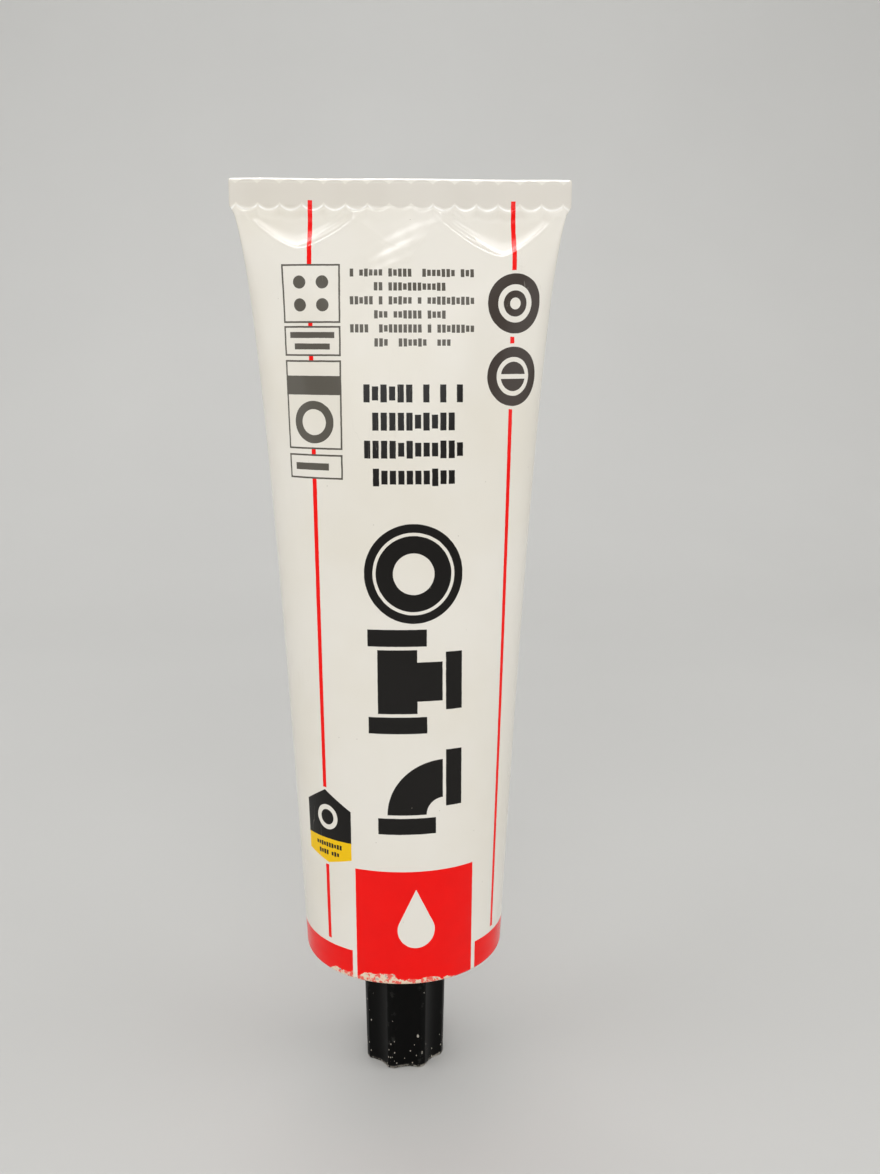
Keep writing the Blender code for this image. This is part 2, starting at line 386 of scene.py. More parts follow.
def mark_icons(bench, u, v):
    """Plain dots, bars and a ring in the frames."""
    dots = bench.length(abs(u) - 2.0, abs(v - FRAMES[0][0]) - 1.9) < math.sqrt(1.2)
    ring = slab(bench.length(u, v - 126.3), 2.9, 0.7)
    return dots | ring | boxes(u, v, FRAME_BARS)


def badge_print(bench, left, v):
    """Gabled badge on the left line: its black, its yellow, and the room it takes in the line."""
    u = left - BADGE_SHIFT
    badge = (abs(u) < 5.15) * (v + abs(left) * 0.6 < 60.6) * (v - abs(u) * 0.28 > 46.65)
    rows = word_rows(bench, u, v, BADGE_ROWS)
    ring = slab(bench.length(u, v - 55.4), 1.9, 0.45)
    black = badge * (v > BADGE_SEAM) * (1 - ring) | rows
    yellow = badge * (v < BADGE_SEAM) * (1 - rows)
    return black, yellow, slab(left, 0.5, 5.0) * slab(v, 53.6, 7.4)


def disc_print(bench, right, v):
    """Two discs on the right line, and the room they take in it."""
    u = right - DISC_SHIFT
    high = bench.length(u, v - DISC_HIGH)
    low = bench.length(u, v - DISC_LOW)
    icons = slab(high, 2.7, 0.5) | (high < 1.0)
    icons = icons | slab(low, 2.9, 0.4) | boxes(u, v, [(0.0, DISC_LOW, 2.9, 0.4)])
    discs = ((high < DISC_RADIUS) | (low < DISC_RADIUS)) * (1 - icons)
    return discs, (high < DISC_CLEAR) | (low < DISC_CLEAR)


def panel_print(bench, label, v):
    """Red band round the shoulder, and the panel with a drop that rises from it."""
    gaps = slab(abs(label), PANEL_HALF + PANEL_GAP / 2, PANEL_GAP / 2)
    band = (v < BAND_TOP) * (1 - gaps) * (abs(label) > PANEL_HALF)
    drop = bench.length(label, v - DROP_CENTRE) < DROP_RADIUS
    drop_tip = (abs(label) < (DROP_TIP - v) * 0.484) * slab(v, 40.25, 3.15)
    panel = (abs(label) < PANEL_HALF) * (v < PANEL_TOP) * (1 - (drop | drop_tip))
    return band | panel


def pressed_strip(bench, place, u, v, colour):
    """Dulls the pressed strip of the fold and paints a bright line along its lower edge: worn lacquer on
    the crimp and a painted highlight.
    """
    cell = (u - CELL_CENTRE) / CELL_PITCH
    from_middle = 2 * (cell - bench.math("ROUND", cell))
    scallop = from_middle * from_middle
    strip_low = v - (FOLD_BASE - CELL_MARGIN) - scallop * CELL_DIP
    strip_high = v - (FOLD_TOP - CELL_MARGIN) + scallop * CREST_DIP
    pressed = bench.soft(strip_low, 0.0, 0.35) * bench.soft(strip_high, 0.15, -0.15)
    colour = bench.blend(pressed * 0.5, colour, DULLED_LACQUER)
    # Bright line along the strip's lower edge: painted highlight, partly worn lacquer, broken up by noise
    lip_highlight = bench.soft(abs(strip_low + 0.2), 0.26, 0.10)
    lip_highlight = lip_highlight * bench.soft(abs(u - UNPRESSED_MIDDLE), 3.6, 5.6) * bench.soft(scallop, 1.0, 0.6, 0.1, 1.0)
    rubbed_glint_patches = bench.soft(bench.noise(place, 340.0), 0.34, 0.56, 0.35, 1.0)
    return bench.blend(lip_highlight * rubbed_glint_patches, colour, RUBBED_LIP_HIGHLIGHT)


def worn_edge(bench, place, u, v):
    """Paint rubbed off the shoulder edge: masks of the cream primer and of the metal."""
    ragged = bench.noise(place, 380.0, 4.0, 0.65)
    patches = bench.noise(place, 150.0, 3.0, 0.6)
    front = bench.soft(u, -17.5, -14.0) * bench.soft(u, 22.0, 6.0)
    reach = front * (0.30 + bench.soft(u, 9.0, 2.0) * 0.50) + bench.soft(patches, 0.56, 0.68) * 0.5
    worn = (v + ragged * 2.6 < 26.1 + reach * 1.8) * (ragged + reach * 0.16 > 0.49)
    left_on = bench.soft(bench.noise(place, 1150.0, 3.0, 0.7), 0.47, 0.55)
    primer = worn * (1 - left_on * 0.8)
    return primer, worn * bench.soft(bench.noise(place, 800.0), 0.66, 0.70)


def lacquer_finish():
    """White stove lacquer with the label print, worn at the shoulder edge."""
    material, bench, shader, place = new_finish("printed_lacquer")
    u, v, _ = bench.parts(bench.node("ShaderNodeUVMap", {"uv_map": "label_wrap"}))

    # Ink edges wander by a few hundredths of a millimetre, and the label leans a little
    wander = bench.noise(place, 900.0) - 0.5
    u = u + wander * 0.10
    v = v + wander * 0.08
    lean = (v - LEAN_BASE) * LABEL_LEAN
    label = u - LABEL_CENTRE + lean
    left = u - LEFT_LINE + lean
    right = u - RIGHT_LINE
    mark_u = left - FRAME_SHIFT
    back = (PERIMETER / 2 - abs(u)) * bench.math("SIGN", u)

    frames = mark_frames(mark_u, v, 0.0)
    badge_black, yellow, badge_clear = badge_print(bench, left, v)
    discs, disc_clear = disc_print(bench, right, v)
    lines = (abs(left) < LINE_HALF) | (abs(right) < LINE_HALF)
    lines = lines * (1 - (frames | badge_clear | disc_clear)) | slab(abs(back), BACK_LINE, LINE_HALF)
    lines = lines * slab(v, LINE_MIDDLE, LINE_HALF_LENGTH)
    red = lines | panel_print(bench, label, v)
    black = fitting_pictograms(bench, label, v) | word_rows(bench, label, v, LARGE_ROWS)
    black = black | word_rows(bench, back, v, BACK_HEADING) | badge_black
    grey = frames * (1 - mark_frames(mark_u, v, FRAME_LINE)) | mark_icons(bench, mark_u, v)
    grey = grey | word_rows(bench, label, v, SMALL_ROWS)
    for rows in BACK_ROWS:
        grey = grey | word_rows(bench, back, v, rows)

    colour = bench.blend(bench.soft(bench.noise(place, 45.0, 3.0), 0.35, 0.75), *LACQUER)
    colour = pressed_strip(bench, place, u, v, colour)
    colour = bench.blend(red, colour, bench.blend(bench.noise(place, 260.0), *RED_INK))
    for mask, ink in ((grey, GREY_INK), (discs, DISC_INK), (black, BLACK_INK), (yellow, YELLOW_INK)):
        colour = bench.blend(mask, colour, ink)
    primer, metal = worn_edge(bench, place, u, v)
    colour = bench.blend(primer, colour, PRIMER)
    colour = bench.blend(metal, colour, BARE_METAL)

    # Hairline scratches and dust
    upright = bench.stretch(place, (1.0, 1.0, 0.06))
    hair = bench.soft(abs(bench.noise(upright, 420.0, 2.0, 0.5, 0.6) - 0.5), 0.004, 0.0)
    hair = hair * (bench.noise(place, 38.0) > 0.6)
    colour = bench.blend(hair * 0.22, colour, SCRATCHED_LACQUER)
    colour = bench.blend(bench.specks(place, 620.0, 0.05, 0.9) * 0.6, colour, WALL_DUST)
    bench.feed(shader.inputs["Base Color"], colour)
    bench.feed(shader.inputs["Metallic"], metal)

    # The crease below the fold is duller than the rest
    crumpled = bench.soft(abs(u - CREASE_START + (FOLD_BASE - v) * CREASE_LEAN), 5.0, 0.5)
    crumpled = crumpled * bench.soft(abs(v - FOLD_BASE + 8.0), 8.0, 3.0)
    full_inks = red | black | discs
    roughness = 0.13 + bench.noise(place, 14.0) * 0.08 + full_inks * 0.03
    roughness = roughness + hair * 0.15 + primer * 0.3 + crumpled * 0.21
    bench.feed(shader.inputs["Roughness"], roughness)
    height = bench.noise(place, 620.0) * 0.35 + bench.noise(place, 120.0)
    height = height - primer * 0.8 + (full_inks | grey) * 0.15
    raise_bumps(bench, shader, 0.06, 0.0001, height)
    shader.inputs["Specular IOR Level"].default_value = 0.22
    return material


def metal_finish():
    """Bare drawn aluminium of the shoulder, the neck and the inside."""
    material, bench, shader, place = new_finish("drawn_aluminium")
    x, y, z = bench.parts(place)
    rings = bench.join(bench.length(x, y) * 60.0, z * 60.0, 0.0)
    turned = bench.noise(rings, 60.0, 3.0, 0.6)
    bench.feed(shader.inputs["Base Color"], bench.blend(bench.noise(place, 160.0, 3.0), *ALUMINIUM))
    bench.feed(shader.inputs["Roughness"], 0.26 + turned * 0.22)
    raise_bumps(bench, shader, 0.2, 0.0001, turned)
    shader.inputs["Metallic"].default_value = 1.0
    return material


def cap_finish():
    """Black moulded plastic with scuffs on the ridges, pale dust low down, and a pale bottom rim that is
    dust and a painted highlight.
    """
    material, bench, shader, place = new_finish("black_moulding")
    x, y, z = bench.parts(place)
    height = z * (1 / MM)
    radius = bench.length(x, y) * (1 / MM)
    ridge = bench.soft(radius - height * 0.019, 7.55, 7.95)
    low = bench.soft(height, 9.0, 0.5)
    grain = bench.noise(place, 2600.0, 2.0, 0.6)
    scuff = bench.soft(bench.noise(place, 520.0, 4.0, 0.7), 0.56, 0.66) * ridge
    drawn = bench.stretch(place, (1.0, 1.0, 0.6))
    crowd = low * (0.10 + ridge * 0.22) + ridge * 0.015
    fine = bench.specks(drawn, 2600.0, 0.28, 0.985 - crowd * 1.3)
    flakes = bench.specks(drawn, 1150.0, 0.24, 0.995 - crowd * 0.55)
    # Bottom rim: painted highlight on the rounded edge, broken up by noise into dusty patches
    rim_dust_and_highlight = bench.soft(bench.noise(place, 900.0, 4.0, 0.7), 0.42, 0.56)
    rim_dust_and_highlight = rim_dust_and_highlight * bench.soft(height, 0.9, 0.35)
    pale = (fine | flakes | rim_dust_and_highlight * 0.8) * (bench.noise(place, 300.0) * 0.7 + 0.35)
    colour = bench.blend(scuff * 0.35, bench.blend(grain, *CAP_BLACK), CAP_SCUFF)
    bench.feed(shader.inputs["Base Color"], bench.blend(pale, colour, CAP_DUST_AND_RIM_HIGHLIGHT))
    smear = bench.noise(bench.stretch(place, (1.0, 1.0, 0.25)), 240.0, 3.0)
    bench.feed(shader.inputs["Roughness"], 0.24 + smear * 0.16 + scuff * 0.2 + pale * 0.4)
    raise_bumps(bench, shader, 0.22, 0.0001, grain * 0.5 + bench.noise(place, 420.0) + pale * 0.8)
    shader.inputs["Specular IOR Level"].default_value = 0.08
    return material


def mottled_finish(name, first, second, scale, low, high, bump_strength):
    """Plain material in two mixed shades with an uneven surface."""
    material, bench, shader, place = new_finish(name)
    patch = bench.noise(place, scale, 4.0, 0.6)
    grain = bench.noise(place, scale * 7.0)
    bench.feed(shader.inputs["Base Color"], bench.blend(bench.soft(patch, 0.3, 0.7), first, second))
    bench.feed(shader.inputs["Roughness"], low + grain * (high - low))
    raise_bumps(bench, shader, bump_strength, 0.0002, patch + grain * 0.4)
    return material, shader


# Tube shell
def outline(half_width, half_depth, face_power):
    """One flattened section, from the middle of the back round by -X."""
    angle = np.linspace(-np.pi, np.pi, OUTLINE_STEPS + 1)
    x = half_width * np.sin(angle)
    y = -half_depth * np.sign(np.cos(angle)) * np.abs(np.cos(angle)) ** face_power
    length = np.concatenate([[0.0], np.cumsum(np.hypot(np.diff(x), np.diff(y)))])
    return x, y, length


def solve(low, high, target, measure):
    """Value between low and high at which a growing measure reaches its target."""
    for _ in range(40):
        middle = (low + high) / 2
        if measure(middle) < target:
            low = middle
        else:
            high = middle
    return (low + high) / 2


def half_width_for(half_depth, face_power):
    """Half-width at which the section keeps the round tube's perimeter."""
    return solve(TUBE_RADIUS * 0.9, TUBE_RADIUS * math.pi, PERIMETER,
                 lambda width: outline(width, half_depth, face_power)[2][-1])


def half_depth_for(half_width, face_power):
    """Half-depth at which the section keeps the round tube's perimeter."""
    return solve(0.0, TUBE_RADIUS * 1.2, PERIMETER,
                 lambda depth: outline(half_width, depth, face_power)[2][-1])


def wrap_columns():
    """Places round the section, in millimetres from the middle of the front."""
    front = PERIMETER / 4 + 1.0
    fine = np.linspace(-front, front, int(2 * front / FRONT_STEP) + 1)
    rest = PERIMETER / 2 - front
    coarse = np.linspace(0.0, rest, int(rest / BACK_STEP) + 1)[1:]
    return np.concatenate([(-front - coarse)[::-1], fine, front + coarse[:-1]])


WRAP = wrap_columns()


def section_ring(half_width, half_depth, face_power):
    """The section at the wrap columns."""
    x, y, length = outline(half_width, half_depth, face_power)
    at = (WRAP / PERIMETER + 0.5) * length[-1]
    return np.interp(at, length, x), np.interp(at, length, y)


def smooth(value, low, high):
    """Smooth step from 0 to 1 while value goes from low to high."""
    t = np.clip((value - low) / (high - low), 0.0, 1.0)
    return t * t * (3 - 2 * t)


def hump(value, centre, width):
    """Bell curve, 1 at its centre."""
    return np.exp(-((value - centre) / width) ** 2)


FOLD_HALF_WIDTH = half_width_for(LAYER_HALF, FOLD_FACE_POWER)
FOLD_STRETCH = FOLD_HALF_WIDTH / half_width_for(LAYER_HALF, 1.0)


def body_section(below):
    """Ring of the wall at a distance below the fold; its faces flatten towards the fold."""
    share_down = (below / BODY_LENGTH) ** (1 / 3)
    swell = LAYER_HALF + (TUBE_RADIUS - LAYER_HALF) * share_down
    half_width = half_width_for(swell, 1.0) * FOLD_STRETCH ** (1 - share_down)
    face_power = FOLD_FACE_POWER + (1 - FOLD_FACE_POWER) * smooth(below, 0.0, FLAT_REACH)
    return section_ring(half_width, half_depth_for(half_width, face_power), face_power)


def scoop_drop(across, scoops):
    """How far below the fold the flat scoops reach at each column."""
    drop = np.zeros_like(across)
    for peak, left, right, depth in scoops:
        offset = across - peak
        share = np.where(offset < 0, -offset / left, offset / right)
        drop = np.maximum(drop, depth * (1 - np.clip(share, 0, 1) ** SCOOP_CURVE))
    return drop


def crimp_bulge(across, z):
    """How far the wall stands out below the row of crimp cells and falls back above it."""
    cell = (across - CELL_CENTRE) / CELL_PITCH
    scallop = (2 * (cell - np.round(cell))) ** 2
    low = FOLD_BASE - CELL_MARGIN + CELL_DIP * scallop
    high = FOLD_TOP - CELL_MARGIN - CREST_DIP * scallop
    strength = 1 - 0.92 * hump(across, UNPRESSED_MIDDLE, 4.3)
    ramp = np.clip((low - z) / CRIMP_RAMP, 0.0, 1.0)
    lower = ramp * (1 - smooth(low - z, CRIMP_RAMP, CRIMP_FADE))
    upper = smooth(z - high, -0.1, 0.45)
    return strength * (CRIMP_HEIGHT * lower - CREST_DEPTH * upper)


def wall_dents(across, z):
    """Pushes in and out of the front wall, from handling."""
    push = 0.05 * np.sin(0.21 * across + 0.055 * z) * np.sin(0.083 * z + 1.3)
    push = push - 0.05 * hump(z, BODY_BASE + 2.3, 0.35)
    for amount, middle, width, lean, height, reach in DENTS:
        push = push + amount * hump(across + lean * (z - height), middle, width) * hump(z, height, reach)
    from_crease = across - (CREASE_START - CREASE_LEAN * (FOLD_BASE - z))
    push = push + 0.75 * hump(from_crease, 0.0, 2.6) * hump(z, FOLD_BASE - 10.5, 5.0)
    crumple = 0.11 * np.sin(2.8 * z - 1.3 * across) + 0.07 * np.sin(1.7 * across + 0.9 * z)
    return push + crumple * hump(from_crease, 0.0, 3.6) * hump(z, FOLD_BASE - 8.5, 6.0)


def wall_levels():
    """Distances of the wall's rows below the fold, from the shoulder up."""
    spans = ((BODY_LENGTH, BODY_LENGTH - 5.0, 0.4), (BODY_LENGTH - 5.0, 18.0, 1.8),
             (18.0, 10.0, 0.5), (10.0, 1.8, 0.2), (1.8, 0.01, 0.12))
    return np.concatenate([np.arange(start, end, -step) for start, end, step in spans])


def scoop_ripples(below, scoop, on_front):
    """Bead along a scoop's lower edge, and fine ripples above it on the front."""
    above = scoop - below
    bead = 0.10 * hump(below, scoop, 0.8) * smooth(scoop, 0.8, 2.6)
    zone = smooth(WRAP, 3.5, 5.5) * (1 - smooth(WRAP, 11.0, 14.0)) + 0.7 * hump(WRAP, -10.5, 3.5)
    ripple = 0.09 * np.cos(above * 2 * np.pi / 1.1) * smooth(above, 0.2, 0.8)
    return bead + ripple * (1 - smooth(above, 3.6, 4.6)) * zone * on_front


def wall_rows():
    """Rows of the wall from the shoulder to the fold, as (points, print height), and its lining."""
    grid = np.concatenate([np.arange(0.0, 2.0, 0.1), np.arange(2.0, 12.0, 0.25)])
    table = [body_section(below) for below in grid]
    table_x = np.array([ring[0] for ring in table])
    table_y = np.array([ring[1] for ring in table])
    on_front = table_y[-1] < 0
    out = np.where(on_front, -1.0, 1.0)
    back_wrap = np.where(WRAP > 0, PERIMETER / 2 - WRAP, -PERIMETER / 2 - WRAP)
    scoop = np.where(on_front, scoop_drop(WRAP, SCOOPS), scoop_drop(back_wrap, BACK_SCOOPS))
    drop = np.maximum(scoop, LEAN_DROP + KEEL_DROP * np.where(on_front, hump(WRAP, -0.6, 5.5), 0.0))
    dish = 1 + (DISH_POWER - 1) * smooth(scoop, LEAN_DROP, LEAN_DROP + 3.0)
    reach_x = np.array([np.interp(d, grid, table_x[:, i]) for i, d in enumerate(drop)])
    reach_y = np.array([np.interp(d, grid, table_y[:, i]) for i, d in enumerate(drop)])

    rows = []
    lining = []
    for below in wall_levels():
        z = FOLD_BASE - below
        x, y = body_section(below)
        share = np.clip(below / np.maximum(drop, 0.01), 0.0, 1.0)
        flat_x = table_x[0] + (reach_x - table_x[0]) * share
        flat_y = table_y[0] + (reach_y - table_y[0]) * share ** dish
        inside = smooth(drop - below, -0.6, 0.7)
        x = x + (flat_x - x) * inside
        y = y + (flat_y - y) * inside
        facing = smooth(-y, 0.0, 0.35) * smooth(FRONT_EDGE - np.abs(x), 0.0, FRONT_FADE) * on_front
        y = y + out * (scoop_ripples(below, scoop, on_front) + wall_dents(WRAP, z) * facing)
        lining.append((np.column_stack([x, y, np.full_like(x, z)]), z))
        y = y + out * crimp_bulge(x, z) * facing
        rows.append((np.column_stack([x, y, np.full_like(x, z)]), z))
    return rows, lining


def half_turn(centre_y, centre_z, radius, start, steps):
    """Half a turn of the fold's centre line, as (y, z, turn)."""
    turns = [start + math.pi * i / steps for i in range(steps + 1)]
    return [(centre_y - radius * math.cos(t), centre_z + radius * math.sin(t), t) for t in turns]


def fold_places():
    """Centre line of the double fold, as (y, z, turn)."""
    top_centre = FOLD_TOP - LAYER_HALF - LAYER_PITCH
    small = LAYER_PITCH / 2
    flap_centre = FOLD_BASE + FLAP_LIFT + LAYER_HALF + small
    rise = np.concatenate([np.arange(FOLD_BASE, FOLD_BASE + 0.8, 0.12),
                           np.arange(FOLD_BASE + 0.8, FOLD_TOP - 1.7, 0.3),
                           np.arange(FOLD_TOP - 1.7, top_centre, 0.13)])
    places = [(0.0, z, 0.0) for z in rise]
    places += half_turn(LAYER_PITCH, top_centre, LAYER_PITCH, 0.0, 12)
    places += [(2 * LAYER_PITCH, z, math.pi) for z in np.linspace(top_centre, flap_centre, 16)[1:-1]]
    places += half_turn(1.5 * LAYER_PITCH, flap_centre, small, math.pi, 8)
    places += [(LAYER_PITCH, z, 2 * math.pi) for z in np.linspace(flap_centre, top_centre - 0.12, 5)[1:]]
    return places


def fold_rows(inset):
    """Rows of the flattened tube along the fold, as (points, print height)."""
    x, depth = section_ring(FOLD_HALF_WIDTH - inset, LAYER_HALF - inset, FOLD_FACE_POWER)
    facing = smooth(-depth, 0.05, 0.25) * smooth(FRONT_EDGE - np.abs(x), 0.0, FRONT_FADE)
    sway = 0.07 * np.sin(x * 0.35 + 0.6) + 0.05 * np.sin(x * 0.9 + 2.0)
    lift = 0.05 * np.sin(x * 0.23 + 1.0)
    rows = []
    length = FOLD_BASE
    last = None
    for y, z, turn in fold_places():
        if last is not None:
            length += math.hypot(y - last[0], z - last[1])
        last = (y, z)
        across = depth
        if inset == 0.0 and turn < 1.5 * math.pi:
            level = z if turn < 1.0 else z + 0.1
            across = depth - crimp_bulge(x, level) * facing * abs(math.cos(turn))
        share_up = (z - FOLD_BASE) / FOLD_HEIGHT
        points = [x, y + across * math.cos(turn) + sway * share_up,
                  z - across * math.sin(turn) + lift * share_up]
        rows.append((np.column_stack(points), length))
    return rows


def round_row(radius, z, v):
    angle = WRAP / TUBE_RADIUS
    return np.column_stack([radius * np.sin(angle), -radius * np.cos(angle), np.full_like(angle, z)]), v


def cone_height(radius):
    """Height of the shoulder's outside."""
    return NECK_ROOT + (radius - NECK_RADIUS) * math.tan(SHOULDER_SLOPE)


def shoulder_rows():
    """Neck, cone and rounded edge, from the membrane up; the print height goes on below the wall."""
    edge_centre = TUBE_RADIUS - SHOULDER_EDGE
    cone_end = edge_centre + SHOULDER_EDGE * math.sin(SHOULDER_SLOPE)
    neck = (
        (NECK_BORE, MEMBRANE[0], 0.0),
        (NECK_BORE, NECK_END + 0.15, 0.2),
        (NECK_BORE + 0.1, NECK_END, 0.4),
        (NECK_CORE - 0.15, NECK_END, 0.8),
        (NECK_CORE, NECK_END + 0.15, 1.0),
        (NECK_CORE, NECK_ROOT - 0.9, 9.0),
        (NECK_RADIUS - 0.1, NECK_ROOT - 0.35, 9.6),
        (NECK_RADIUS + 0.1, NECK_ROOT + 0.05, 10.0),
    )
    metal = [round_row(*place) for place in neck]
    for share in np.linspace(0.06, 0.86, 8):
        radius = NECK_RADIUS + (cone_end - NECK_RADIUS) * share
        metal.append(round_row(radius, cone_height(radius), 11.0 + 10.0 * share))
    paint = []
    for share in (0.92, 0.96, 1.0):
        radius = NECK_RADIUS + (cone_end - NECK_RADIUS) * share
        from_edge = (cone_end - radius) / math.cos(SHOULDER_SLOPE)
        paint.append(round_row(radius, cone_height(radius), BODY_BASE - 0.57 - from_edge))
    for i in range(1, 6):
        angle = (SHOULDER_SLOPE - math.pi / 2) * (1 - i / 6)
        radius = edge_centre + SHOULDER_EDGE * math.cos(angle)
        z = BODY_BASE + SHOULDER_EDGE * math.sin(angle)
        paint.append(round_row(radius, z, BODY_BASE + SHOULDER_EDGE * angle))
    return metal, paint


def inset_row(row, depth):
    """A row of the wall moved inwards along its section's normal."""
    points, v = row
    along = np.roll(points, -1, axis=0) - np.roll(points, 1, axis=0)
    normal = np.column_stack([along[:, 1], -along[:, 0]])
    normal = normal / np.maximum(np.linalg.norm(normal, axis=1, keepdims=True), 1e-9)
    moved = points.copy()
    moved[:, :2] -= normal * depth
    return moved, v


def inner_rows(lining):
    """Inside of the shell, from the fold down to the membrane."""
    rows = list(reversed(fold_rows(LAYER_HALF - SLIT_HALF)))[::3]
    plain = [row for row in lining if row[1] < FOLD_BASE - FLAT_REACH]
    pressed = lining[len(plain):]
    rows += [inset_row(row, TUBE_WALL) for row in reversed(plain[1::9] + pressed)]
    for radius in (TUBE_RADIUS - 0.6, 12.0, NECK_BORE + 0.2):
        z = cone_height(radius) + SHOULDER_WALL / math.cos(SHOULDER_SLOPE)
        rows.append(round_row(radius, z, z))
    rows.append(round_row(NECK_BORE, NECK_ROOT - 0.3, 18.0))
    rows.append(round_row(NECK_BORE, MEMBRANE[1], 9.6))
    return rows


def chain_mesh(name, groups, first_pole, last_pole):
    """Mesh through rows of points, closed at both ends; each group of rows has its material."""
    rows = [row for _, group in groups for row in group]
    slots = [slot for slot, group in groups for _ in group]
    count = len(WRAP)
    points = np.concatenate([[first_pole]] + [row[0] for row in rows] + [[last_pole]]) * MM
    last = len(points) - 1
    column = np.arange(count)
    after = (column + 1) % count
    seam_u = np.concatenate([WRAP, [WRAP[0] + PERIMETER]])
    u0, u1 = seam_u[:-1], seam_u[1:]
    pole_wrap = np.column_stack([u0, u0 * 0, u1, u0 * 0, u0, u0 * 0]).ravel().tolist()

    faces = np.column_stack([np.zeros(count, int), 1 + after, 1 + column]).tolist()
    materials = [slots[0]] * count
    wraps = list(pole_wrap)
    for i in range(len(rows) - 1):
        low = 1 + i * count
        high = low + count
        faces += np.column_stack([low + column, low + after, high + after, high + column]).tolist()
        materials += [max(slots[i], slots[i + 1])] * count
        v0, v1 = np.full(count, rows[i][1]), np.full(count, rows[i + 1][1])
        wraps += np.column_stack([u0, v0, u1, v0, u1, v1, u0, v1]).ravel().tolist()
    top = last - count
    faces += np.column_stack([top + column, top + after, np.full(count, last)]).tolist()
    materials += [slots[-1]] * count
    wraps += pole_wrap

    mesh = bpy.data.meshes.new(name)
    mesh.from_pydata(points.tolist(), [], faces)
    wrap_map = mesh.uv_layers.new(name="label_wrap")
    wrap_map.uv.foreach_set("vector", np.array(wraps, np.float32))
    mesh.polygons.foreach_set("material_index", np.array(materials, np.int32))
    mesh.shade_smooth()
    mesh.set_sharp_from_angle(angle=math.radians(SHELL_SHARP_DEG))
    return mesh


def add_to_scene(name, data):
    """Object of that name in the scene."""
    made = bpy.data.objects.new(name, data)
    bpy.context.scene.collection.objects.link(made)
    return made


def add_piece(name, mesh, body, slot, *nodes):
    """Puts a finished mesh in the scene and ties it to its body."""
    piece = add_to_scene(name, mesh)
    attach(piece, body)
    if nodes:
        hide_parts(*nodes)


def make_shell(lacquer, metal):
    """Tube in one closed mesh: neck and inside in metal, the rest in lacquer."""
    neck, paint = shoulder_rows()
    wall, lining = wall_rows()
    groups = [(1, neck), (0, paint), (0, wall), (0, fold_rows(0.0)), (1, inner_rows(lining))]
    mesh = chain_mesh("lacquered_shell", groups, (0, 0, MEMBRANE[0]), (0, 0, MEMBRANE[1]))
    mesh.materials.append(lacquer)
    mesh.materials.append(metal)
    add_piece("lacquered_shell", mesh, "tube", "white_lacquer", "tube_shell")


# Geometry Nodes pieces
class Jig:
    """A Geometry Nodes group with named inputs, run once on a starting mesh."""

    def __init__(self, name, sizes):
        self.tree = bpy.data.node_groups.new(name, "GeometryNodeTree")
        self.bench = Bench(self.tree)
        sockets = self.tree.interface
        sockets.new_socket("Geometry", in_out="INPUT", socket_type="NodeSocketGeometry")
        sockets.new_socket("Geometry", in_out="OUTPUT", socket_type="NodeSocketGeometry")
        self.sizes = {}
        for label, value in sizes.items():
            kind = "NodeSocketInt" if isinstance(value, int) else "NodeSocketFloat"
            made = sockets.new_socket(label, in_out="INPUT", socket_type=kind)
            self.sizes[made.identifier] = value
        self.source = self.tree.nodes.new("NodeGroupInput")

    def size(self, label):
        return Wire(self.bench, self.source.outputs[label])

    def deliver(self, geometry, material):
        """Ends the tree: real geometry with its material."""
        geometry = self.bench.node("GeometryNodeRealizeInstances", None, {0: geometry})
        geometry = self.bench.node("GeometryNodeSetMaterial", None, {0: geometry, "Material": material})
        result = self.tree.nodes.new("NodeGroupOutput")
        self.bench.feed(result.inputs[0], geometry)

    def run(self, start):
        """Plain mesh that the tree makes from the starting mesh."""
        carrier = add_to_scene(self.tree.name, start)
        modifier = carrier.modifiers.new("jig", "NODES")
        modifier.node_group = self.tree
        for identifier, value in self.sizes.items():
            modifier[identifier] = value
        depsgraph = bpy.context.evaluated_depsgraph_get()
        mesh = bpy.data.meshes.new_from_object(carrier.evaluated_get(depsgraph))
        carrier.modifiers.remove(modifier)
        bpy.data.objects.remove(carrier, do_unlink=True)
        mesh.name = self.tree.name
        mesh.shade_smooth()
        return mesh


def rounded(centre, start_deg, radius):
    """Quarter round about a centre, as (radius, height) points."""
    angles = [math.radians(start_deg + 90.0 * i / ROUND_STEPS) for i in range(ROUND_STEPS + 1)]
    return [(centre[0] + radius * math.cos(a), centre[1] + radius * math.sin(a)) for a in angles]


def cap_profile():
    """Half section of the cap, from the piercing point round to the bore's floor: (r, z, fluted)."""
    plain = [(0.0, SPIKE_TIP), (0.12, SPIKE_TIP + 0.03), (0.25, SPIKE_TIP + 0.2)]
    plain += [(SPIKE_RADIUS - 0.1, RECESS_DEPTH - 0.35), (SPIKE_RADIUS + 0.25, RECESS_DEPTH)]
    plain += [(RECESS_RADIUS - 0.5, RECESS_DEPTH), (RECESS_RADIUS, RECESS_DEPTH - 0.5)]
    plain += [(RECESS_RADIUS, 0.3), (RECESS_RADIUS + 0.09, 0.09), (RECESS_RADIUS + 0.3, 0.0)]
    outside = rounded((CAP_END_RADIUS - CAP_EDGE, CAP_EDGE), -90.0, CAP_EDGE)
    lean = (CAP_RIM_RADIUS - CAP_END_RADIUS) / (CAP_RIM - 2 * CAP_EDGE)
    for z in np.linspace(CAP_EDGE, CAP_RIM - CAP_EDGE, 14)[1:-1]:
        outside.append((CAP_END_RADIUS + lean * (z - CAP_EDGE), z))
    outside += rounded((CAP_RIM_RADIUS - CAP_EDGE, CAP_RIM - CAP_EDGE), 0.0, CAP_EDGE)
    inside = [(CAP_BORE + 0.4, CAP_RIM), (CAP_BORE + 0.12, CAP_RIM - 0.12), (CAP_BORE, CAP_RIM - 0.4)]
    inside += [(CAP_BORE, CAP_FLOOR + 0.02), (CAP_BORE - 0.02, CAP_FLOOR), (0.0, CAP_FLOOR)]
    parts = ((plain, 0.0), (outside, 1.0), (inside, 0.0))
    return [(r, z, fluted) for part, fluted in parts for r, z in part]


